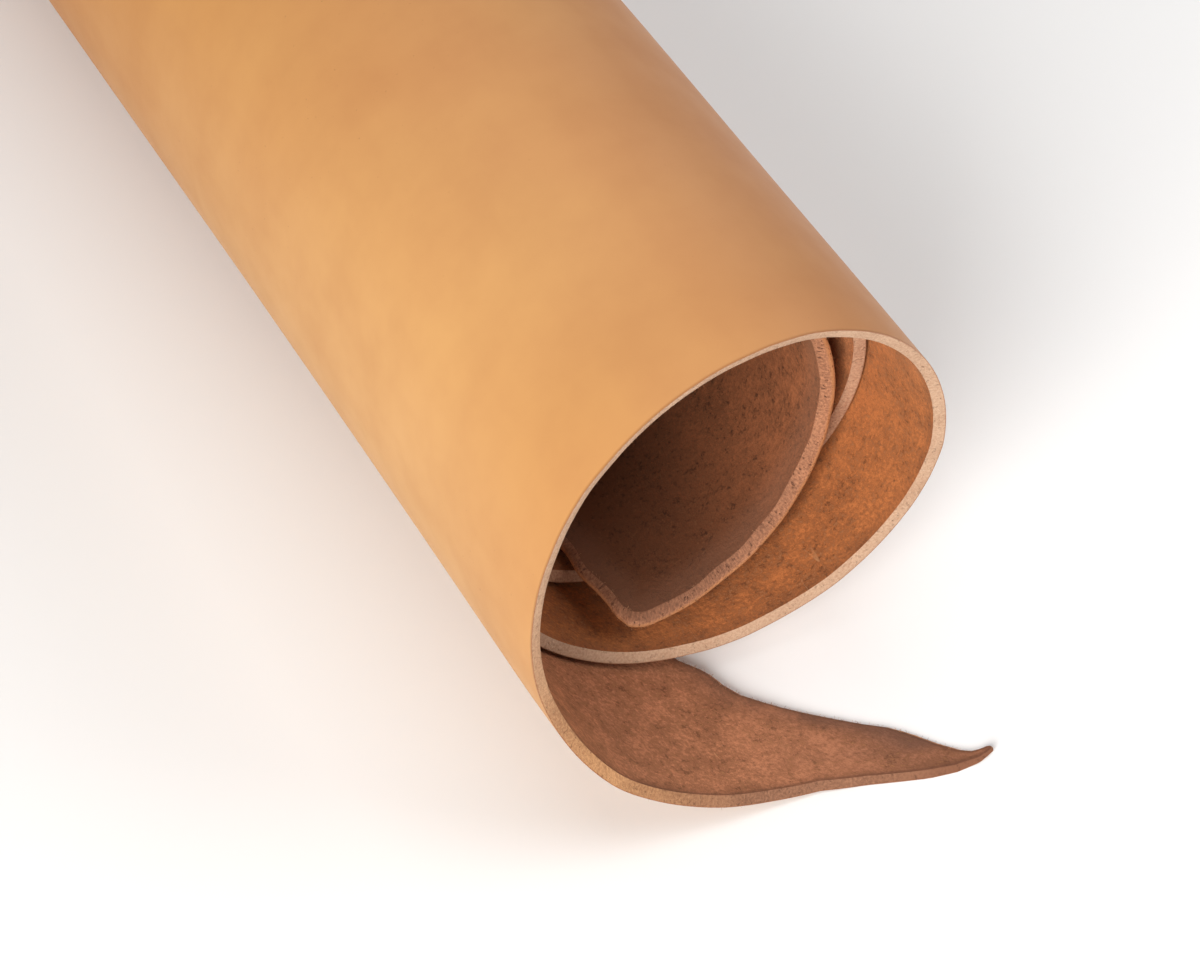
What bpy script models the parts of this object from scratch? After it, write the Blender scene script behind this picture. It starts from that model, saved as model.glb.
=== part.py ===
"""A side of vegetable-tanned leather, rolled up and lying on a surface.

The side is one sheet, wound nearly three times with its smooth grain side outwards. The roll lies
along Y. At its near end (-Y) the outer end of the sheet runs out as a tongue, which lies flat on the
surface in front of the roll. Over its far half the roll rests on a narrow flat spot.

A place on the sheet is given by two lengths: its station, along the sheet from the tip of the tongue
towards the middle of the roll, and its distance across the sheet from the near edge.
"""

import math

import bmesh
import bpy
from mathutils import Vector

OBJECT_NAME = "leather_side"
MM = 0.001

# The sheet
THICKNESS = 4.0 * MM
WIDTH = 950 * MM            # across the hide, from the near edge to the far edge
FAR_EDGE = 900 * MM         # where the straight far edge lies along the roll
COLUMNS = 156               # faces along the wound length

# How the sheet is wound: the radius its grain side is bent to at each station, and how far along
# the roll its near edge lies there. The tongue's edge flares towards the front.
FLAT = math.inf
WINDING = (
    # station, bend radius, near edge
    (0, FLAT, -74),
    (9, FLAT, -76),
    (25, FLAT, -72),
    (50, 119, -63),
    (80, 102.5, -60),
    (120, 75.5, -54),
    (160, 73.5, -42),
    (230, 72, -32),
    (310, 69, -25),
    (400, 71, -23),
    (500, 67, -11),
    (600, 67, 3),
    (700, 65.5, 10),
    (800, 63, 10),
    (900, 63.5, 21),
    (1000, 58.5, 23),
    (1100, 57, 18),
    (1200, 55.5, 11),
    (1350, 53.5, -14),
)

# The two natural ends of the sheet: the station where each begins or stops, row by row across it.
# The first rows are the raw edge of the tongue. The others run under the roll.
ENDS = (
    # across, outer end, inner end
    (0, 0, 1298),
    (5, 8, 1301),
    (11, 14, 1305),
    (18, 22, 1307),
    (24, 33, 1306),
    (31, 45, 1309),
    (38, 56, 1308),
    (47, 63, 1310),
    (60, 69, 1313),
    (80, 76, 1316),
    (110, 84, 1314),
    (160, 95, 1309),
    (240, 104, 1314),
    (360, 108, 1318),
    (480, 105, 1312),
    (600, 107, 1312),
    (760, 109, 1315),
    (950, 106, 1312),
)

# The roll's near end is held up by its own tongue. From there it sinks to the surface, where the
# last part of the way down presses the flat spot that it rests on. The turns above give way too.
SINK = 15.4 * MM            # how far the roll comes down
SINK_LENGTH = 560 * MM      # over this length behind its near end
UNDERSIDE = (400, 640)      # stations between which the turn touches that it rests on
PRESSED = 60 * MM           # height above the surface where nothing gives way any more
STEP = 1.0 * MM             # step used to draw the wound section

LEATHER = {"colour": (0.62, 0.33, 0.15, 1.0), "roughness": 0.5, "metallic": 0.0}


def clear_scene():
    """Remove what the new file starts with."""
    for old in list(bpy.data.objects):
        bpy.data.objects.remove(old)


def between_rows(rows, column, key, value=lambda cell: cell):
    """Read a column of a table at a place between two of its rows."""
    key = key / MM
    for before, after in zip(rows, rows[1:]):
        if key <= after[0]:
            break
    share = (key - before[0]) / (after[0] - before[0])
    return value(before[column]) + (value(after[column]) - value(before[column])) * share


def bend(station):
    """Curvature of the grain side at a station, per metre."""
    return between_rows(WINDING, 1, station, lambda radius: 1.0 / (radius * MM))


def near_edge(station):
    """Place of the near edge along the roll."""
    return between_rows(WINDING, 2, station) * MM


def wound_section():
    """Points of the grain side, seen from the near end: left along the surface, then clockwise."""
    points = [Vector((0.0, 0.0))]
    heading = math.pi
    length = WINDING[-1][0] * MM
    for number in range(round(length / STEP)):
        heading -= bend((number + 0.5) * STEP) * STEP
        points.append(points[-1] + STEP * Vector((math.cos(heading), math.sin(heading))))
    return points


def on_section(points, station):
    """Point of the section at a station."""
    place = station / STEP
    number = min(int(place), len(points) - 2)
    return points[number].lerp(points[number + 1], place - number)


def sink(along):
    """How far the roll has come down at a distance behind its near end."""
    share = min(max(along / SINK_LENGTH, 0.0), 1.0)
    return SINK * share * share * (3.0 - 2.0 * share)


def underside(points, x):
    """Height of the turn that the roll rests on, before it sinks, at a place from left to right."""
    first, last = (round(station * MM / STEP) for station in UNDERSIDE)
    for right, left in zip(points[first:last], points[first + 1:last]):
        if right.x >= x > left.x:
            return right.lerp(left, (right.x - x) / (right.x - left.x)).y
    return math.inf


def give_way(place, lowest, lowering):
    """How far the surface pushes a point of the section up when the roll is lowered onto it."""
    push = max(lowering - lowest, 0.0)
    return push * max(1.0 - abs(place.y - lowest) / PRESSED, 0.0) if push else 0.0


def make_sheet():
    """The grain side as an open grid, wound into the roll."""
    section = wound_section()
    grid = bmesh.new()
    bmesh.ops.create_grid(grid, x_segments=COLUMNS, y_segments=len(ENDS) - 1, size=0.5)
    for vertex in grid.verts:
        share = vertex.co.x + 0.5
        across, outer_end, inner_end = ENDS[round((vertex.co.y + 0.5) * (len(ENDS) - 1))]
        station = (outer_end + (inner_end - outer_end) * share) * MM
        near = near_edge(station)
        along = near + (FAR_EDGE - near) * across * MM / WIDTH
        place = on_section(section, station)
        lowering = sink(along)
        height = place.y - lowering + give_way(place, underside(section, place.x), lowering)
        vertex.co = Vector((place.x, along, max(height, 0.0)))
    mesh = bpy.data.meshes.new(OBJECT_NAME)
    grid.to_mesh(mesh)
    grid.free()
    return mesh


def centre_on_box(mesh):
    """Put the origin under the middle of the roll, on the surface it lies on."""
    for axis in (0, 1):
        places = [vertex.co[axis] for vertex in mesh.vertices]
        middle = (min(places) + max(places)) / 2.0
        for vertex in mesh.vertices:
            vertex.co[axis] -= middle


def make_material(name, finish):
    """Plain material with the leather's colour."""
    material = bpy.data.materials.new(name)
    material.use_nodes = True
    shader = material.node_tree.nodes["Principled BSDF"]
    shader.inputs["Base Color"].default_value = finish["colour"]
    shader.inputs["Roughness"].default_value = finish["roughness"]
    shader.inputs["Metallic"].default_value = finish["metallic"]
    return material


def make_side():
    """The whole side: the wound grid with its thickness towards the middle of the roll."""
    mesh = make_sheet()
    centre_on_box(mesh)
    side = bpy.data.objects.new(OBJECT_NAME, mesh)
    body = side.modifiers.new("thickness", "SOLIDIFY")
    body.thickness = THICKNESS
    body.offset = -1.0
    body.use_even_offset = True
    mesh.materials.append(make_material("leather", LEATHER))
    mesh.shade_smooth()
    mesh.set_sharp_from_angle(angle=math.radians(40.0))
    return side


def main():
    clear_scene()
    collection = bpy.data.collections.new(OBJECT_NAME)
    bpy.context.scene.collection.children.link(collection)
    collection.objects.link(make_side())


main()
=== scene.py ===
# %% [markdown]
# # A rolled side of leather
#
# A side is half a hide. A tannery sells it as one sheet, rolled up with the smooth grain side out.
# This one lies on a table: its near end looks at the camera, and the outer end of the sheet runs
# out of the roll as a pointed tongue.
#
# The lesson builds it in this order: the place of the solid model and of the camera, the wound
# sheet with its cut and raw edges, three finishes (grain side, flesh side, edge), loose fibres, and
# the studio.

# %% Load the frame
import math

import bpy
import numpy as np
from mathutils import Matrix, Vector


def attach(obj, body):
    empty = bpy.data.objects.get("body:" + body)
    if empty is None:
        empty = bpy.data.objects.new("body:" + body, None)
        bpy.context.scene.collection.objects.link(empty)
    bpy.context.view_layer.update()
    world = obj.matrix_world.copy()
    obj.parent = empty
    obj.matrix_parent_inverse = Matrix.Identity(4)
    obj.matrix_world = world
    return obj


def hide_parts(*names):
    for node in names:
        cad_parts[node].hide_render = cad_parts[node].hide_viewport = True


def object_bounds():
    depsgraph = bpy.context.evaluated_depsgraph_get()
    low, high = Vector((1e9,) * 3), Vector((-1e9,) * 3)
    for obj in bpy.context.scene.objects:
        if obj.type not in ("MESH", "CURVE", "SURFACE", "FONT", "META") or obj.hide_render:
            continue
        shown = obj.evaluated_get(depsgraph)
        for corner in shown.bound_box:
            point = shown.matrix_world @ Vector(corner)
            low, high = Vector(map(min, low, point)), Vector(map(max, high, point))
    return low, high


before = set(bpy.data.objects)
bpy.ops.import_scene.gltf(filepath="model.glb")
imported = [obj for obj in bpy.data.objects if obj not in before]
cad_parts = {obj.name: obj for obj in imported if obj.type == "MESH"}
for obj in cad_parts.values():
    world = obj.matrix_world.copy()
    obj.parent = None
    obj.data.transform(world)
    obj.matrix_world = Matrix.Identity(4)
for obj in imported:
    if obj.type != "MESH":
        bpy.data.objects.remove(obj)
cad_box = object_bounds()
MM = 0.001
print("solid model, mm:", [[round(value / MM, 1) for value in corner] for corner in cad_box])

# %% [markdown]
# ## The camera
#
# The camera comes first, because every later choice is judged through it. A long lens, about
# 111 mm, looks down at 48 degrees from a good metre away. It stands a little to the left of the
# roll and turned to the right, so the roll runs from the lower middle of the picture out of its
# top edge. Aiming could be done with a Track To constraint. Here two angles are written down, since
# they were measured, and a constraint would hide them.

# %% Stand the camera
CAMERA_PLACE = Vector((-353.1, -1014.2, 847.5)) * MM
LOOKS_RIGHT = 28.4           # degrees to the right of the roll's length
LOOKS_DOWN = 47.82           # degrees below the horizon
LENS = 111.4                 # on a sensor 36 mm wide

lens = bpy.data.cameras.new("camera")
lens.lens = LENS
lens.clip_start, lens.clip_end = 0.05, 20.0
camera = bpy.data.objects.new("camera", lens)
camera.location = CAMERA_PLACE
camera.rotation_euler = (math.radians(90.0 - LOOKS_DOWN), 0.0, math.radians(-LOOKS_RIGHT))
bpy.context.scene.collection.objects.link(camera)
bpy.context.scene.camera = camera
print("camera stands", round(CAMERA_PLACE.length, 3), "m from the origin, under the roll's middle")

# %% [markdown]
# ## How the sheet is wound
#
# A place on the flat sheet needs two lengths. The *station* runs along the sheet from the tip of
# the tongue to the middle of the roll, and *across* runs from the near edge to the far edge. A
# rolled sheet is bent in one direction only, so its shape is known once the bend radius is known
# at every station. The table gives that radius, and where the near edge lies along the
# roll. A spiral formula would be shorter, but a real roll is looser in some places than in others.

# %% The winding, in millimetres
THICKNESS = 4.0
WIDTH = 950.0
FAR_EDGE = 900.0
FLAT = math.inf
WINDING = np.array((
    # station, bend radius, near edge
    (-2, FLAT, -74.2), (4, FLAT, -75.6), (12, FLAT, -75.2), (20, FLAT, -73.4), (25, FLAT, -71.6),
    (37, 248, -67), (50, 119, -63), (80, 102.5, -60), (120, 75.5, -54), (160, 73.5, -42),
    (230, 72, -32), (310, 69, -25), (400, 71, -23), (500, 67, -11), (600, 67, 3), (700, 65.5, 10),
    (800, 63, 10), (900, 63.5, 21), (1000, 58.5, 23), (1100, 57, 17.4), (1200, 55.5, 10.1),
    (1350, 53.5, -14.4),
))
FIRST_STATION = -3.0                 # the section starts a little before the tip


def column(table, number, at):
    """Read a column of a table at any places between its rows."""
    return np.interp(at, table[:, 0], table[:, number])


def wound_section(step=1.0):
    """Stations and the points of the grain side there, seen from the near end."""
    station = np.arange(FIRST_STATION, WINDING[-1, 0] + step, step)
    bend = np.interp(station[:-1] + step / 2, WINDING[:, 0], 1.0 / WINDING[:, 1])
    heading = math.pi - np.cumsum(bend * step)
    x = -station[0] + np.concatenate(([0.0], np.cumsum(np.cos(heading) * step)))
    z = np.concatenate(([0.0], np.cumsum(np.sin(heading) * step)))
    return station, x, z


section_station, section_x, section_z = wound_section()
shift_x = cad_box[0].x / MM - section_x.min()
shift_y = cad_box[1].y / MM - FAR_EDGE
print("section:", len(section_station), "points,", round(np.ptp(section_x), 1), "mm wide")

# %% [markdown]
# ## How the roll lies
#
# Its own tongue holds up the near end of the roll. Behind it the roll comes down to the table
# and presses itself a flat spot, which the turns above follow less and less. A physics simulation
# could find this, but the solid model already says where the roll lies, and the finished sheet has
# to stay in its place.

# %% Sinking and the flat spot
SINK, SINK_LENGTH = 15.4, 560.0
UNDERSIDE = (400, 640)               # stations of the turn that the roll rests on
PRESSED = 60.0                       # nothing gives way above this height
NO_TURN = 1e6                        # height read beside the turn that the roll rests on
touching = (section_station >= UNDERSIDE[0]) & (section_station < UNDERSIDE[1])
underside_x, underside_z = section_x[touching][::-1], section_z[touching][::-1]


def ease(value, start, stop):
    """0 before start, 1 after stop, and a smooth rise between them."""
    share = np.clip((value - start) / (stop - start), 0.0, 1.0)
    return share * share * (3.0 - 2.0 * share)


def lying_height(x, z, along):
    """Height of a point of the section once the roll has come down."""
    lowering = SINK * ease(along, 0.0, SINK_LENGTH)
    lowest = np.interp(x, underside_x, underside_z, left=NO_TURN, right=NO_TURN)
    share = np.clip(1.0 - np.abs(z - lowest) / PRESSED, 0.0, 1.0)
    push = np.maximum(lowering - lowest, 0.0) * share
    return np.maximum(z - lowering + push, 0.0)


print("underside", round(underside_z.min(), 2), "mm up at the near end")

# %% [markdown]
# ## Uneven edges
#
# Nobody cuts 4 mm leather perfectly straight, and the belly and neck edges of a hide are raw. A
# small noise moves the edges: smooth random steps between fixed places, the same on every run
# because the seed is fixed.

# %% Noise along a line
NOISE_VALUES, NOISE_START = 4096, 64.0


def wander(at, length, seed):
    """Smooth random values from -1 to 1 along a line, with one bump in each length."""
    values = np.random.default_rng(seed).uniform(-1.0, 1.0, NOISE_VALUES)
    place = np.asarray(at, float) / length + NOISE_START
    whole = np.floor(place).astype(int)
    part = ease(place - whole, 0.0, 1.0)
    return values[whole % NOISE_VALUES] * (1.0 - part) + values[(whole + 1) % NOISE_VALUES] * part


# %% The two raw ends
ENDS = np.array((
    # across, outer end, inner end
    (0, -1.2, 1295.2), (0.7, -1.6, 1295.3), (1.5, -0.8, 1295.5), (2.8, 3, 1295.8), (5.5, 6.6, 1296.5),
    (11.7, 12, 1297.5), (16.5, 16, 1297.8), (20.3, 20.5, 1298), (23, 27, 1298.3), (28, 37, 1299),
    (34, 46.5, 1299.3), (39, 52.3, 1300), (43.5, 55.5, 1301), (49, 57.8, 1302), (53, 60.6, 1303),
    (55.5, 63.5, 1303.6), (59, 64.8, 1304.5), (63, 69.5, 1306), (80, 76, 1310), (110, 84, 1312),
    (160, 95, 1309), (240, 104, 1314), (360, 108, 1318), (520, 105, 1311), (720, 109, 1315),
    (950, 106, 1312),
))


def outer_end(across):
    """Station of the tongue's raw edge, and further back of the outer end under the roll."""
    ragged = 0.35 * wander(across, 8.0, 1) + 0.3 * wander(across, 3.2, 2)
    return column(ENDS, 1, across) + ragged * ease(across, 1.0, 12.0)


def inner_end(across):
    """Station of the innermost end, which is lumpy."""
    lumps = 0.7 * wander(across, 13.0, 3) + 0.3 * wander(across, 6.0, 4)
    return column(ENDS, 2, across) + lumps * ease(across, 0.0, 12.0)


def near_edge(station):
    """Where the cut near edge lies along the roll, with the small waves of a hand cut."""
    worn = ease(station, 980.0, 1100.0)
    long_waves = (0.14 + 0.12 * worn) * wander(station, 16.0, 5)
    short_waves = (0.06 + 0.06 * worn) * wander(station, 6.0, 6)
    return column(WINDING, 2, station) + (long_waves + short_waves) - 1.2 * worn


print("raw end of the tongue at", np.round(outer_end(np.array((0.0, 20.0, 50.0))), 1), "mm")

# %% [markdown]
# ## The grain side in space
#
# One function turns a place on the flat sheet into a point in space. Its station gives the point of
# the section, and its distance across gives the place along the roll. The inner corner is worn
# back, the tip of the tongue curls up a little, and very slow waves keep the big surface from
# looking machined. The direction of the thickness then follows from two small steps on the sheet.
#
# The worn corner is shallow on purpose. A true quarter circle is steep at its end, and there the
# rows of the grid would slide over each other and fold the sheet.

# %% From the flat sheet to the roll
CORNER, CORNER_DEPTH = 8.0, 2.0      # over what length the inner corner is worn, and how deep
TIP_CURL, TIP_LENGTH = 1.3, 12.0     # how far the tip stands up, and over what length
MIDDLE_X, MIDDLE_Z = 70.0, 72.0      # the roll's middle, from the section's left side and the table


def fade(distance, reach=20.0):
    """1 at an edge, falling to 0 at a distance from it."""
    return np.clip(1.0 - distance / reach, 0.0, 1.0) ** 2


def slow_waves(x, y, z):
    """Slow waves that neighbouring turns share, so that they never touch."""
    return (0.20 * np.sin(x / 19.0 + y / 47.0 + 1.3) * np.cos(z / 23.0 - y / 83.0)
            + 0.16 * np.sin(y / 31.0 - z / 29.0 + 0.4) * np.sin(x / 27.0 + 2.1))


def worn_corner(station, across):
    """How far the worn inner corner stands back from the near edge."""
    return CORNER_DEPTH * fade(inner_end(across) - station, CORNER) * fade(across, 30.0)


def grain_point(station, across, corner):
    """Points of the grain side, in millimetres."""
    near = near_edge(station)
    along = near + (FAR_EDGE - near) * across / WIDTH + corner
    x = np.interp(station, section_station, section_x)
    z = lying_height(x, np.interp(station, section_station, section_z), along)
    swell = slow_waves(x, along, z) * ease(z, 1.0, 14.0)
    curl = TIP_CURL * np.clip(1.0 - station / TIP_LENGTH, 0.0, 1.2) ** 2
    from_middle_x, from_middle_z = x - section_x.min() - MIDDLE_X, z - MIDDLE_Z
    reach = np.hypot(from_middle_x, from_middle_z) + 1e-6
    moved_x = x + shift_x + swell * (from_middle_x / reach)
    moved_z = z + curl + swell * (from_middle_z / reach)
    return np.stack((moved_x, along + shift_y, moved_z), axis=-1)


def unit(vectors):
    """The same directions with length 1."""
    return vectors / np.linalg.norm(vectors, axis=-1, keepdims=True)


def inward(station, across, corner, step=0.6):
    """Direction of the thickness, towards the middle of the roll."""
    over = grain_point(station + step, across, corner) - grain_point(station - step, across, corner)
    back = grain_point(station, across + step, corner) - grain_point(station, across - step, corner)
    return unit(np.cross(back, over))


# %% [markdown]
# ## Thickness and the shape of the edge
#
# The sheet is 4 mm thick, but a hide thins towards its raw edges: the tongue's far edge and its tip
# are pared down, and the inner end is a little thinner too. The edge is not square either. A knife
# held at a slant leaves the grain side standing out over the flesh side, the old edge of the
# innermost turn is rubbed round, and raw edges are soft on both sides. Blender's Solidify and Bevel
# modifiers do this with one size everywhere. Worked out point by point, the sizes can change along the
# edge.

# %% Thickness and stand-back
def thickness_at(station, across):
    """Thickness of the sheet."""
    from_outer, from_inner = station - outer_end(across), inner_end(across) - station
    raw_edge = 1.0 - ease(from_outer, 0.0, 24.0)
    tongue = 1.0 - ease(station, 15.0, 100.0)
    lumpy_end = (1.0 - ease(from_inner, 0.0, 12.0)) * (1.0 + 0.5 * wander(across, 12.0, 8))
    cut_edge = fade(across, 25.0) * ease(station, 60.0, 110.0) * (1.0 - ease(station, 900.0, 1000.0))
    share = 1.0 - 0.30 * raw_edge - 0.40 * tongue - 0.16 * lumpy_end - 0.15 * cut_edge
    return THICKNESS * share + 0.10 * wander(station, 37.0, 7) * ease(from_outer, 4.0, 20.0)


def cut_inside(station, across):
    """How far the outer turn is drawn in on its grain side, along the near edge."""
    return 0.8 * fade(across, 25.0) * ease(station, 110.0, 170.0) * (1.0 - ease(station, 300.0, 360.0))


def stand_back(depth, slant, soft_grain, soft_flesh):
    """How far an edge stands back at a depth, from 0 at the grain side to 1 at the flesh side."""
    near_grain, near_flesh = fade(depth, 0.35), np.clip((depth - 0.5) / 0.5, 0.0, 1.0) ** 2
    return slant * depth + soft_grain * near_grain + soft_flesh * near_flesh


def layer_point(station, across, depth):
    """Points of the sheet at a depth, with the shape of the edges."""
    from_outer, from_inner = station - outer_end(across), inner_end(across) - station
    worn = ease(station, 960.0, 1060.0)
    uneven = 1.0 + 0.16 * worn * wander(station, 9.0, 9)
    slant, soft_grain, soft_flesh = 1.3 + 0.5 * worn, 0.08 + 0.8 * worn, 0.2 + 1.3 * worn
    back_near = stand_back(depth, slant, soft_grain, soft_flesh) * uneven
    back_outer = stand_back(depth, slant=0.5, soft_grain=0.4, soft_flesh=0.9)
    back_inner = stand_back(depth, slant=0.6, soft_grain=0.8, soft_flesh=1.4)
    back_inner = back_inner * (1.0 + 0.2 * wander(across, 9.0, 10))
    tip = 1.0 - 0.7 * fade(station, 12.0)
    moved_station = station + tip * back_outer * fade(from_outer) - back_inner * fade(from_inner)
    moved_across = across + tip * back_near * fade(across) - 0.6 * depth * fade(WIDTH - across)
    thick = thickness_at(station, across) * depth + cut_inside(station, across)
    place = moved_station, moved_across, worn_corner(station, across)
    point = grain_point(*place) + inward(*place) * thick[..., None]
    point[..., 2] = np.maximum(point[..., 2], 0.0)
    return point


# %% [markdown]
# ## A grid that is fine where the eye is
#
# The near edge is seen from close by, and the far end from a distance, so the rows of the grid
# start about half a millimetre apart and grow to about 30 mm. The columns are finest at the two raw
# ends. A modifier that divides every face alike would spend most of its faces where nobody looks.

# %% Rows and columns
def growing_steps(first, ratio, largest, stop):
    """Distances from 0 whose steps grow until they are as large as the largest one allowed."""
    places, step = [0.0], first
    while places[-1] + step < stop:
        places.append(places[-1] + step)
        step = min(step * ratio, largest(places[-1]))
    return np.array(places)


across_rows = growing_steps(0.45, 1.18, lambda at: 2.4 if at < 64.0 else 32.0, WIDTH - 10.0)
across_rows = np.append(across_rows, WIDTH)
LENGTH = ENDS[:, 2].max()
end_steps = growing_steps(0.4, 1.25, lambda at: 2.5, 40.0)
middle_steps = np.arange(end_steps[-1], LENGTH - end_steps[-1], 2.4)[1:]
share_columns = np.concatenate((end_steps, middle_steps, LENGTH - end_steps[::-1])) / LENGTH
first_station, last_station = outer_end(across_rows), inner_end(across_rows)
station = first_station + (last_station - first_station) * share_columns[:, None]
across = np.broadcast_to(across_rows, station.shape)
columns, rows = station.shape
print(rows, "rows and", columns, "columns")

# %% [markdown]
# ## One closed mesh
#
# The grain side and the flesh side are the same grid at depth 0 and depth 1. The border of the grid
# is walked once round for the layers between them. All parts share their border points, so the
# sheet is one closed body. Each face knows which of the three finishes it gets, and every point
# keeps its place on the flat sheet, so that the finishes can follow the leather round the roll.

# %% Points of the two sides and of the edge
EDGE_DEPTHS = (0.07, 0.18, 0.32, 0.5, 0.68, 0.84, 0.95)
last_column, last_row = columns - 1, rows - 1
border = [(i, 0) for i in range(last_column)] + [(last_column, j) for j in range(last_row)]
border += [(i, last_row) for i in range(last_column, 0, -1)] + [(0, j) for j in range(last_row, 0, -1)]
at_border = tuple(np.array(border).T)
parts = [layer_point(station, across, depth).reshape(-1, 3) for depth in (0.0, 1.0)]
parts += [layer_point(station[at_border], across[at_border], depth) for depth in EDGE_DEPTHS]
points = np.concatenate(parts) * MM
print(len(points), "points, box", np.round(np.ptp(points, axis=0), 4), "m")

# %% Faces between them
side_points = columns * rows
grain_number = np.arange(side_points).reshape(columns, rows)
flesh_number = grain_number + side_points
edge_numbers = 2 * side_points + np.arange(len(EDGE_DEPTHS) * len(border)).reshape(-1, len(border))
layer_numbers = [grain_number[at_border], *edge_numbers, flesh_number[at_border]]


def grid_faces(number):
    """The grid's faces, with corners in the order that makes them face out of the roll."""
    corners = (number[:-1, :-1], number[1:, :-1], number[1:, 1:], number[:-1, 1:])
    return np.stack(corners, axis=-1).reshape(-1, 4)


def edge_faces(upper, lower):
    """A ring of faces between two layers of the edge."""
    return np.stack((np.roll(upper, -1), upper, lower, np.roll(lower, -1)), axis=-1)


grain_faces = grid_faces(grain_number)
flesh_faces = grid_faces(flesh_number)[:, ::-1]
rim_faces = np.concatenate([edge_faces(*pair) for pair in zip(layer_numbers, layer_numbers[1:])])
faces = np.concatenate((grain_faces, flesh_faces, rim_faces))
finish_of_face = np.repeat((0, 1, 2), (len(grain_faces), len(flesh_faces), len(rim_faces)))
print(2 * len(faces), "triangles")

# %% Places on the flat sheet, for the finishes
def flat_place(station, across, depth):
    """Station, distance across and depth below the grain side, in millimetres."""
    return np.stack((station, across, thickness_at(station, across) * depth), axis=-1).reshape(-1, 3)


places = [flat_place(station, across, 0.0), flat_place(station, across, 1.0)]
places += [flat_place(station[at_border], across[at_border], depth) for depth in EDGE_DEPTHS]
RAW_SLANT = 0.75                     # the tongue's raw edge runs at a slant to the stations
raw_distance = np.minimum((station - first_station) * RAW_SLANT, last_station - station)
edge_distance = np.minimum(across, raw_distance).ravel()
edge_distance = np.concatenate((edge_distance, edge_distance, np.zeros(len(border) * len(EDGE_DEPTHS))))


def add_attribute(mesh, name, kind, values):
    """Store a value or a vector at every point of a mesh."""
    layer = mesh.attributes.new(name, kind, "POINT")
    layer.data.foreach_set("value" if kind == "FLOAT" else "vector", values.astype(np.float32).ravel())


mesh = bpy.data.meshes.new("side_of_leather")
mesh.from_pydata(points, [], faces)
mesh.polygons.foreach_set("material_index", finish_of_face.astype(np.int32))
add_attribute(mesh, "place", "FLOAT_VECTOR", np.concatenate(places) * MM)
add_attribute(mesh, "edge_distance", "FLOAT", edge_distance * MM)
mesh.shade_smooth()
mesh.set_sharp_from_angle(angle=math.radians(50.0))
mesh.update()
leather = bpy.data.objects.new("side_of_leather", mesh)
bpy.context.scene.collection.objects.link(leather)
area = sum(polygon.area for polygon in mesh.polygons) / 2
print("flat sheet of about", round(area, 3), "square metres, mesh valid:", not mesh.validate())

# %% [markdown]
# ## Writing finishes as sums
#
# A finish is a tree of nodes. Written out node by node it is long and hard to read, so a small
# class wraps a socket and gives it Python's own signs. `1 - mask` then adds a Math node by itself.
# Any other node comes from one method that takes the node's type, its settings and its inputs.

# %% A socket with Python's signs
class Socket:
    """An output socket that can be added to, taken from and multiplied."""

    def __init__(self, tree, socket):
        self.tree, self.socket = tree, socket

    def node(self, kind, settings=None, inputs=None, output=0):
        """Add a node: first its settings, then a value or a link for each input that is named."""
        node = self.tree.nodes.new(kind)
        for name, value in (settings or {}).items():
            if name == "stops":
                ramp = node.color_ramp
                while len(ramp.elements) < len(value):
                    ramp.elements.new(1.0)
                for element, (position, shade) in zip(ramp.elements, value):
                    element.position, element.color = position, shade
            else:
                setattr(node, name, value)
        for name, value in (inputs or {}).items():
            if isinstance(value, Socket):
                self.tree.links.new(value.socket, node.inputs[name])
            else:
                node.inputs[name].default_value = value
        return Socket(self.tree, node.outputs[output])

    def math(self, operation, first, second=0.0):
        return self.node("ShaderNodeMath", {"operation": operation}, {0: first, 1: second})

    def __add__(self, other):
        return self.math("ADD", self, other)

    def __sub__(self, other):
        return self.math("SUBTRACT", self, other)

    def __mul__(self, other):
        return self.math("MULTIPLY", self, other)

    def __rsub__(self, other):
        return self.math("SUBTRACT", other, self)

    __radd__ = __add__

    def rise(self, start, stop):
        """0 up to start, 1 from stop on, and a smooth rise between them."""
        inputs = {"Value": self, "From Min": start, "From Max": stop}
        return self.node("ShaderNodeMapRange", {"interpolation_type": "SMOOTHSTEP"}, inputs)

    def axis(self, number):
        """One of the three numbers of a vector."""
        return self.node("ShaderNodeSeparateXYZ", None, {0: self}, output=number)

    def scaled(self, x, y, z, shift=(0.0, 0.0, 0.0)):
        """A vector stretched along each of its axes, and moved."""
        settings = {"operation": "MULTIPLY_ADD"}
        return self.node("ShaderNodeVectorMath", settings, {0: self, 1: (x, y, z), 2: shift})

    def noise(self, scale, detail=2.0, roughness=0.5, distortion=0.0):
        """Cloudy values about 0.5, with so many clouds a metre."""
        inputs = {"Vector": self, "Scale": scale, "Detail": detail, "Roughness": roughness}
        return self.node("ShaderNodeTexNoise", None, {**inputs, "Distortion": distortion})

    def blend(self, first, second):
        """A colour between two, by this value: 0 gives the first and 1 the second."""
        inputs = {0: self, 6: first, 7: second}
        return self.node("ShaderNodeMix", {"data_type": "RGBA"}, inputs, output=2)

    def ramp(self, *stops):
        """A colour that runs through stops, each with its value and its colour."""
        return self.node("ShaderNodeValToRGB", {"stops": stops}, {0: self})


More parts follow.
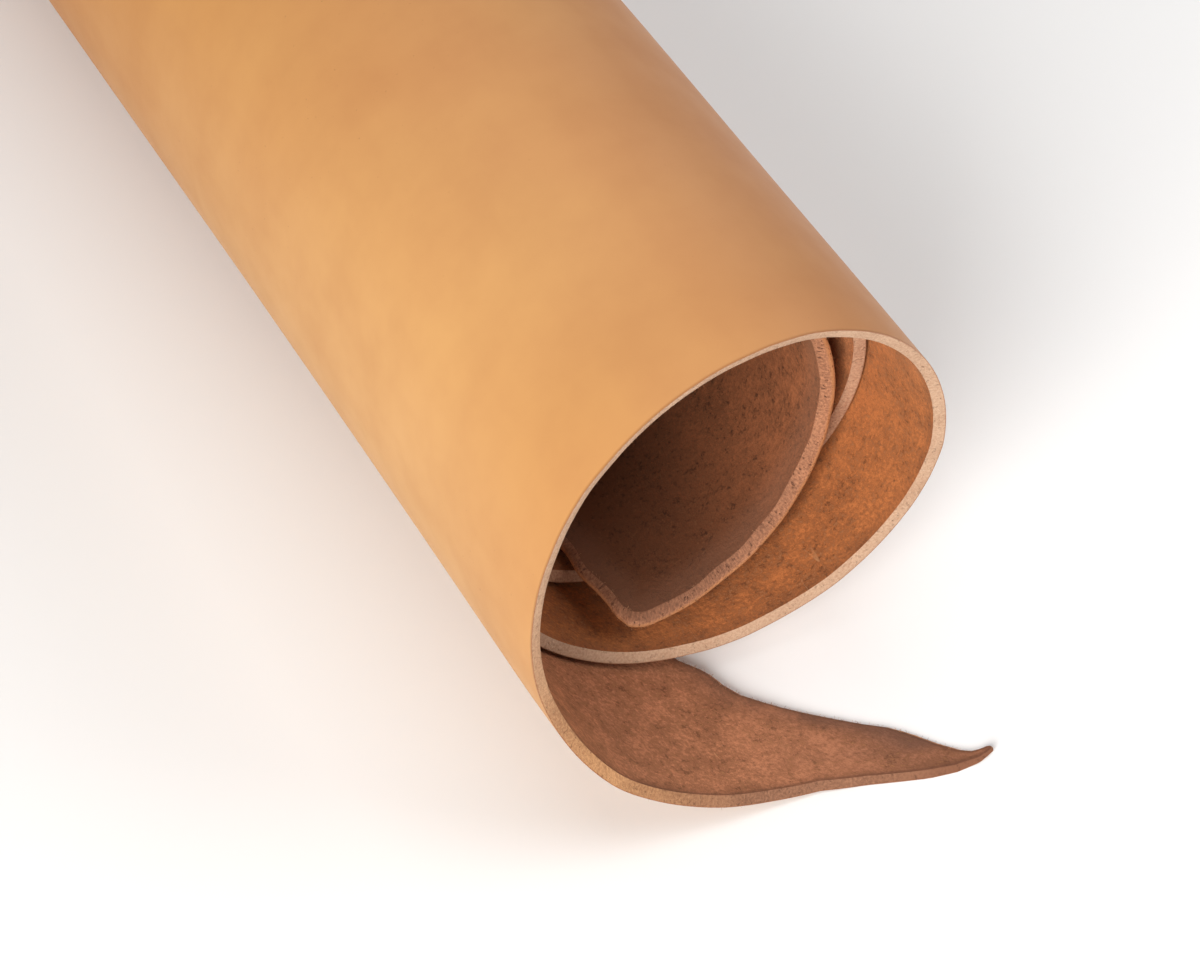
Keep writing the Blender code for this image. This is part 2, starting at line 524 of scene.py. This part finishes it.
class Finish:
    """A material and its shader, with the sheet's own attributes at hand."""

    def __init__(self, name):
        self.material = bpy.data.materials.new(name)
        self.material.use_nodes = True
        self.tree = self.material.node_tree
        self.shader = self.tree.nodes["Principled BSDF"]
        self.maker = Socket(self.tree, None)

    def attribute(self, name, output):
        return self.maker.node("ShaderNodeAttribute", {"attribute_name": name}, None, output)

    def set(self, name, value):
        """Set an input of the shader to a value, or link a socket to it."""
        if isinstance(value, Socket):
            self.tree.links.new(value.socket, self.shader.inputs[name])
        else:
            self.shader.inputs[name].default_value = value

    def bump(self, height, distance, strength=1.0):
        """Let a height in units of a distance stand out of the surface."""
        self.set("Normal", self.maker.node("ShaderNodeBump", None, {
            "Height": height, "Distance": distance, "Strength": strength}))


def colour(red, green, blue):
    """A colour as it is seen on a screen, from 0 to 255, as the linear colour that a shader wants."""
    share = np.array((red, green, blue)) / 255.0
    linear = np.where(share <= 0.04045, share / 12.92, ((share + 0.055) / 1.055) ** 2.4)
    return (*linear, 1.0)


# %% [markdown]
# ## The grain side
#
# Undyed vegetable-tanned leather is a warm tan. Its colour drifts in soft clouds, it is pinker
# over the top of the roll and deeper towards the far end, and it has faint streaks from the rollers
# and a few pores. The surface is smooth and half matt, with a soft sheen. An image would hold all
# of this too, but it would blur up close, and noise has no such limit.

# %% Grain finish
grain_finish = Finish("leather_grain")
place = grain_finish.attribute("place", 1)
station_here, across_here = place.axis(0), place.axis(1)
clouds = place.noise(9.0, detail=3.0, roughness=0.55)
small_clouds = place.scaled(1.0, 1.0, 1.0, (3.1, 0.7, 0.0)).noise(38.0, detail=3.0, roughness=0.6)
streaks = place.scaled(1.0, 0.14, 1.0).noise(70.0, detail=2.0, roughness=0.5)
GOLDEN, PINK, DEEP = colour(207, 156, 98), colour(189, 131, 87), colour(184, 120, 54)
over_the_top = station_here.rise(0.17, 0.38) * 0.85 + (clouds - 0.5) * 0.9
base = over_the_top.rise(-0.1, 1.0).blend(GOLDEN, PINK)
far = across_here.rise(0.05, 0.42) * (0.75 - station_here.rise(0.2, 0.34) * 0.4) + (clouds - 0.5) * 0.4
base = far.rise(0.0, 1.0).blend(base, DEEP)
base = ((1 - across_here.rise(0.004, 0.07)) * 0.26).blend(base, colour(178, 116, 60))
cloudy = (small_clouds - 0.5) * 0.8 + (streaks - 0.5) * 0.3 + 0.5
base = (cloudy.rise(0.25, 0.85) * 0.26).blend(base, colour(164, 106, 64))
pores = place.noise(900.0, detail=1.0)
pore_mask = pores.rise(0.72, 0.82) * clouds.rise(0.45, 0.6)
edge_line = 1 - grain_finish.attribute("edge_distance", 2).rise(0.0002, 0.0010)
base = (pore_mask * 0.35).blend(base, colour(120, 72, 40))
base = (edge_line * 0.5).blend(base, colour(140, 84, 48))
grain_finish.set("Base Color", base)
grain_finish.set("Roughness", 0.5 + (small_clouds - 0.5) * 0.18 + (streaks - 0.5) * 0.1)
grain_finish.set("Specular IOR Level", 0.3)
pebble = place.noise(1500.0, detail=2.0, roughness=0.6)
grain_finish.bump(pebble * 0.6 + small_clouds * 3.0 - pore_mask, 0.00006)
print("grain finish:", len(grain_finish.tree.nodes), "nodes")

# %% [markdown]
# ## The flesh side
#
# The inside of the sheet is the side that was next to the meat. It looks like tight suede: browner
# than the grain, mottled, with darker and lighter patches and a few pale scratches of loose fibre.
# The innermost turn is darker brown, partly its own colour and partly painted shade, and a stretch
# of it and one of the second turn are painted paler, as painted light. Handling has made the tongue
# greyer, most of all along its raw edge.
# A soft dark band follows the cut, where the knife pressed the fibres down.

# %% Flesh finish
flesh_finish = Finish("leather_flesh")
place = flesh_finish.attribute("place", 1)
station_here, across_here = place.axis(0), place.axis(1)
edge_here = flesh_finish.attribute("edge_distance", 2)
patches = place.scaled(1.0, 0.8, 1.0, (1.7, 4.2, 0.0))
patches = patches.noise(16.0, detail=4.0, roughness=0.6, distortion=0.4)
mottle = place.noise(120.0, detail=5.0, roughness=0.68)
nap = place.noise(850.0, detail=4.0, roughness=0.75)
TIP, TONGUE, TAN = colour(158, 105, 78), colour(198, 131, 94), colour(191, 116, 65)
# The paler tan is painted light on the second turn, where the roll keeps the lamps off it. The inner
# brown is partly the innermost turn's own colour and partly painted shade, and the lighter brown
# between its stretches is painted light where the key light reaches into the roll.
PAINTED_LIGHT_TAN, INNER_BROWN_AND_SHADE, INNER_PAINTED_LIGHT = colour(212, 134, 84), colour(109, 65, 41), colour(176, 107, 68)
RAMP_LENGTH = 1.35                   # length of sheet that the ramp of colours covers, in metres
SHADES = (
    # station in metres, colour
    (0.02, TIP), (0.075, TONGUE), (0.11, TONGUE), (0.18, TAN), (0.60, TAN), (0.70, PAINTED_LIGHT_TAN),
    (0.80, PAINTED_LIGHT_TAN), (0.90, TAN), (1.02, INNER_BROWN_AND_SHADE), (1.07, INNER_BROWN_AND_SHADE), (1.13, INNER_PAINTED_LIGHT),
    (1.19, INNER_PAINTED_LIGHT), (1.26, INNER_BROWN_AND_SHADE),
)
base = (station_here * (1 / RAMP_LENGTH)).ramp(*[(at / RAMP_LENGTH, shade) for at, shade in SHADES])
shade = patches * 0.34 + mottle * 0.5 + nap * 0.8
base = (shade.rise(0.62, 0.98) * 0.7).blend(base, colour(92, 54, 34))
# On the inner turns the pale nap is darker and the dark specks stronger, to go with the painted shade
# of their base colour.
inside = station_here.rise(0.88, 1.02)
loose_nap = inside.blend(colour(208, 146, 98), colour(160, 104, 68))
base = (nap.rise(0.50, 0.66) * mottle.rise(0.4, 0.56) * (0.34 - inside * 0.08)).blend(base, loose_nap)
specks = place.noise(620.0, detail=3.0, roughness=0.7).rise(0.51, 0.66) * mottle.rise(0.38, 0.6)
base = (specks * (0.5 + inside * 0.25)).blend(base, colour(58, 32, 20))
scratch_lines = place.scaled(1.0, 0.16, 1.0, (0.0, 0.3, 0.0)).noise(260.0, detail=2.0, distortion=1.2)
scratches = scratch_lines.rise(0.69, 0.74) * patches.rise(0.5, 0.62)
base = (scratches * 0.45).blend(base, colour(214, 160, 112))
soft_band = (1 - edge_here.rise(0.0005, 0.0055)) * (1 - station_here.rise(0.55, 0.65) * 0.7)
base = (soft_band * 0.32).blend(base, colour(100, 62, 42))
thin_line = (1 - edge_here.rise(0.0003, 0.0016)) * (1 - station_here.rise(0.10, 0.16))
base = (thin_line * 0.55).blend(base, colour(84, 52, 40))
soiled = (1 - edge_here.rise(0.003, 0.014)) * across_here.rise(0.006, 0.012)
soiled = soiled * (1 - station_here.rise(0.05, 0.075))
base = (soiled * patches.rise(0.3, 0.55) * 0.5).blend(base, colour(86, 62, 54))
rubbed = (1 - edge_here.rise(0.004, 0.016)) * station_here.rise(0.98, 1.08)
base = (rubbed * 0.35).blend(base, colour(134, 96, 76))
flesh_finish.set("Base Color", base)
flesh_finish.set("Roughness", 0.86)
flesh_finish.set("Specular IOR Level", 0.2)
flesh_finish.set("Sheen Weight", 0.2)
flesh_finish.set("Sheen Roughness", 0.5)
flesh_finish.set("Sheen Tint", colour(222, 170, 128))
flesh_finish.bump(nap * 0.8 + mottle * 2.4 + scratches * 0.6, 0.0003)
print("flesh finish:", len(flesh_finish.tree.nodes), "nodes")

# %% [markdown]
# ## The edge
#
# The cut shows the inside of the leather: pale, with fine pores. A thin brown line marks the grain
# layer. Towards the tip of the tongue the edge is golden to brown. On the innermost turn it has gone
# a dull brown with handling, with small pits and a tan band where the grain side rolls over the edge.

# %% Edge finish
edge_finish = Finish("leather_edge")
place = edge_finish.attribute("place", 1)
station_here, across_here, depth_here = place.axis(0), place.axis(1), place.axis(2)
speckle = place.noise(1300.0, detail=3.0, roughness=0.7)
stains = place.noise(70.0, detail=3.0, roughness=0.6)
grainy = (speckle * 0.7 + stains * 0.3).rise(0.32, 0.68)
pale_edge = grainy.blend(colour(174, 136, 109), colour(203, 169, 141))
inner_edge = grainy.blend(colour(160, 112, 86), colour(198, 152, 120))
base = station_here.rise(0.60, 0.95).blend(pale_edge, inner_edge)
tongue_edge = grainy.blend(colour(112, 74, 54), colour(154, 109, 82))
golden_edge = grainy.blend(colour(144, 99, 66), colour(188, 140, 97))
base = (1 - station_here.rise(0.13, 0.22)).blend(base, golden_edge)
base = (1 - station_here.rise(0.065, 0.125)).blend(base, tongue_edge)
base = (1 - station_here.rise(0.005, 0.04)).blend(base, colour(126, 82, 59))
old_edge = grainy.blend(colour(132, 89, 66), colour(200, 140, 104))
tan_band = 1 - (depth_here + (stains - 0.5) * 0.0022).rise(0.0008, 0.0018)
old_edge = (tan_band * 0.75).blend(old_edge, colour(196, 134, 86))
soiled = station_here.rise(1.18, 1.27) * depth_here.rise(0.0012, 0.0026)
old_edge = (soiled * 0.35).blend(old_edge, colour(84, 56, 46))
pits = place.noise(800.0, detail=2.0).rise(0.62, 0.70)
old_edge = (pits * 0.6).blend(old_edge, colour(84, 52, 42))
raw = 1 - (1 - station_here.rise(0.97, 1.05)) * (1 - across_here.rise(0.0005, 0.002))
base = raw.blend(base, old_edge)
grain_line = (1 - depth_here.rise(0.0001, 0.0004)) * (1 - raw)
base = (grain_line * 0.6).blend(base, colour(140, 84, 50))
edge_finish.set("Base Color", base)
edge_finish.set("Roughness", 0.8)
edge_finish.set("Specular IOR Level", 0.25)
edge_finish.bump(speckle + stains * 0.5 - pits * 0.8, 0.0004)
for finish in (grain_finish, flesh_finish, edge_finish):
    mesh.materials.append(finish.material)
print("edge finish:", len(edge_finish.tree.nodes), "nodes")

# %% [markdown]
# ## Loose fibres
#
# Where the hide ends raw, and where its old edge is rubbed, single fibres stand out. There are
# thousands of them, so a tree of Geometry Nodes grows them: it scatters points over the places that
# the sheet marks as fluffy, and puts a bent fibre of a few faces on each one. Particle hair looks the
# same in a render, but it isn't a mesh, so it would be lost with the exported model.

# %% Where the sheet is fluffy
raw_near = 1.0 - ease(raw_distance, 0.2, 1.6)
rubbed_near = 0.5 * ease(station, 990.0, 1060.0) * (1.0 - ease(across, 0.2, 1.6))
fluff = np.maximum(raw_near, rubbed_near) * (0.04 + 0.96 * (1.0 - ease(across, 90.0, 200.0)))
fluff = np.maximum(fluff, 0.06 * (1.0 - ease(across, 0.2, 1.0)))
fluff = fluff.ravel()
border_fluff = fluff[grain_number[at_border]]
fluff = np.concatenate((fluff, fluff, np.tile(border_fluff, len(EDGE_DEPTHS))))
add_attribute(mesh, "fluff", "FLOAT", fluff)
print("fluffy points:", int((fluff > 0.5).sum()))

# %% Fibre finish
fibre_finish = Finish("leather_fibre")
spot = fibre_finish.maker.node("ShaderNodeTexCoord", output="Object")
fibre_shade = spot.noise(600.0, detail=1.0).rise(0.35, 0.65)
fibre_finish.set("Base Color", fibre_shade.blend(colour(130, 84, 58), colour(206, 156, 116)))
fibre_finish.set("Roughness", 0.8)
fibre_finish.set("Specular IOR Level", 0.2)

# %% The tree that grows fibres
fibre_tree = bpy.data.node_groups.new("grow_fibres", "GeometryNodeTree")
sizes = {"Fibres per square metre": 1.1e6, "Length": 0.8 * MM, "Thickness": 0.03 * MM, "Seed": 7}
fibre_tree.interface.new_socket("Sheet", in_out="INPUT", socket_type="NodeSocketGeometry")
for name, value in sizes.items():
    kind = "NodeSocketInt" if isinstance(value, int) else "NodeSocketFloat"
    fibre_tree.interface.new_socket(name, in_out="INPUT", socket_type=kind)
fibre_tree.interface.new_socket("Fibres", in_out="OUTPUT", socket_type="NodeSocketGeometry")
grow = Socket(fibre_tree, None)


def given(name):
    """One of the tree's own inputs."""
    return grow.node("NodeGroupInput", output=name)


length, thickness, seed = given("Length"), given("Thickness"), given("Seed")
marked = grow.node("GeometryNodeInputNamedAttribute", {"data_type": "FLOAT"}, {"Name": "fluff"})
density = marked * given("Fibres per square metre")
scattered = grow.node("GeometryNodeDistributePointsOnFaces", {"distribute_method": "RANDOM"}, {
    "Mesh": given("Sheet"), "Density": density, "Seed": seed}, "Points")
upright = Socket(fibre_tree, scattered.socket.node.outputs["Rotation"])
print("tree takes:", list(sizes))

# %% One bent fibre, turned every way
bend_point = grow.node("ShaderNodeCombineXYZ", None, {"Z": length * 0.55})
end_point = grow.node("ShaderNodeCombineXYZ", None, {"X": length * 0.45, "Z": length * 0.8})
spine = grow.node("GeometryNodeCurveQuadraticBezier", None, {
    "Resolution": 3, "Start": (0.0, 0.0, 0.0), "Middle": bend_point, "End": end_point})
ring = grow.node("GeometryNodeCurvePrimitiveCircle", None, {
    "Resolution": 3, "Radius": thickness}, "Curve")
fibre = grow.node("GeometryNodeCurveToMesh", None, {
    "Curve": spine, "Profile Curve": ring, "Fill Caps": True})
tilt = grow.node("FunctionNodeRandomValue", {"data_type": "FLOAT_VECTOR"}, {
    0: (-0.8, -0.8, -3.14), 1: (0.8, 0.8, 3.14), "Seed": seed})
turned = grow.node("FunctionNodeRotateRotation", {"rotation_space": "LOCAL"}, {
    "Rotation": upright, "Rotate By": grow.node("FunctionNodeEulerToRotation", None, {"Euler": tilt})})
size = grow.node("FunctionNodeRandomValue", {"data_type": "FLOAT"}, {
    2: 0.45, 3: 1.3, "Seed": seed + 1}, 1)
planted = grow.node("GeometryNodeInstanceOnPoints", None, {
    "Points": scattered, "Instance": fibre, "Rotation": turned, "Scale": size})
real = grow.node("GeometryNodeRealizeInstances", None, {"Geometry": planted})
LOWEST = (-9.0, -9.0, 0.0)           # lowest place allowed: only the height is ever held back
position = grow.node("GeometryNodeInputPosition")
above_floor = grow.node("ShaderNodeVectorMath", {"operation": "MAXIMUM"}, {0: position, 1: LOWEST})
lying = grow.node("GeometryNodeSetPosition", None, {"Geometry": real, "Position": above_floor})
dressed = grow.node("GeometryNodeSetMaterial", None, {
    "Geometry": lying, "Material": fibre_finish.material})
fibre_tree.links.new(dressed.socket, fibre_tree.nodes.new("NodeGroupOutput").inputs[0])
print("tree of", len(fibre_tree.nodes), "nodes")

# %% Grow them and keep a plain mesh
grower = bpy.data.objects.new("fibre_grower", mesh)
bpy.context.scene.collection.objects.link(grower)
growth = grower.modifiers.new("fibres", "NODES")
growth.node_group = fibre_tree
for socket in fibre_tree.interface.items_tree:
    if socket.in_out == "INPUT" and socket.name in sizes:
        growth[socket.identifier] = sizes[socket.name]
grown = grower.evaluated_get(bpy.context.evaluated_depsgraph_get())
fibre_mesh = bpy.data.meshes.new_from_object(grown)
bpy.data.objects.remove(grower)
fibres = bpy.data.objects.new("loose_fibres", fibre_mesh)
bpy.context.scene.collection.objects.link(fibres)
print("fibres:", sum(len(face.vertices) - 2 for face in fibre_mesh.polygons), "triangles")

# %% [markdown]
# ## The studio
#
# The roll lies on a plain white floor. The strongest soft light stands at the left front: it lights
# the grain side and looks into the roll. A weaker one fills from the right, one from above evens out
# the floor, and a faint one behind draws the far flank. White surroundings of an even strength
# would be simpler, but they would also light the inside of the roll, which has to stay dark.

# %% Floor
REACH = 4.0                          # half the floor's side, in metres
floor_corners = [(-REACH, -REACH, 0), (REACH, -REACH, 0), (REACH, REACH, 0), (-REACH, REACH, 0)]
floor_mesh = bpy.data.meshes.new("floor")
floor_mesh.from_pydata(floor_corners, [], [(0, 1, 2, 3)])
floor = bpy.data.objects.new("floor", floor_mesh)
bpy.context.scene.collection.objects.link(floor)
floor_finish = Finish("floor_white")
floor_finish.set("Base Color", (0.86, 0.86, 0.86, 1.0))
floor_finish.set("Roughness", 0.9)
floor_mesh.materials.append(floor_finish.material)


# %% Lights
def soft_light(name, place, target, size, watts, tint=(1.0, 1.0, 1.0)):
    """A square soft box that looks at a target."""
    light = bpy.data.lights.new(name, "AREA")
    light.size, light.energy, light.color = size, watts, tint
    box = bpy.data.objects.new(name, light)
    box.location = place
    box.rotation_euler = (Vector(target) - Vector(place)).to_track_quat("-Z", "Y").to_euler()
    bpy.context.scene.collection.objects.link(box)


MOUTH = (0.0, -0.45, 0.07)
soft_light("key", (-1.25, -1.55, 1.0), MOUTH, size=1.0, watts=50.0, tint=(1.0, 0.98, 0.955))
soft_light("fill", (1.5, -1.2, 1.1), MOUTH, size=1.4, watts=19.0)
soft_light("back", (1.5, 0.4, 1.2), MOUTH, size=1.4, watts=7.0)
soft_light("top", (0.0, -0.3, 1.9), MOUTH, size=1.4, watts=12.5)
world = bpy.data.worlds.new("surroundings")
world.use_nodes = True
world.node_tree.nodes["Background"].inputs["Color"].default_value = (1.0, 1.0, 1.0, 1.0)
world.node_tree.nodes["Background"].inputs["Strength"].default_value = 0.04
bpy.context.scene.world = world
bpy.context.scene.view_settings.view_transform = "Standard"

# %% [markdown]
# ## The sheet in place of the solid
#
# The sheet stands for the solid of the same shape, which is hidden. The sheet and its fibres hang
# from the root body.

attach(leather, "root")
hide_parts("leather_side")
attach(fibres, "root")
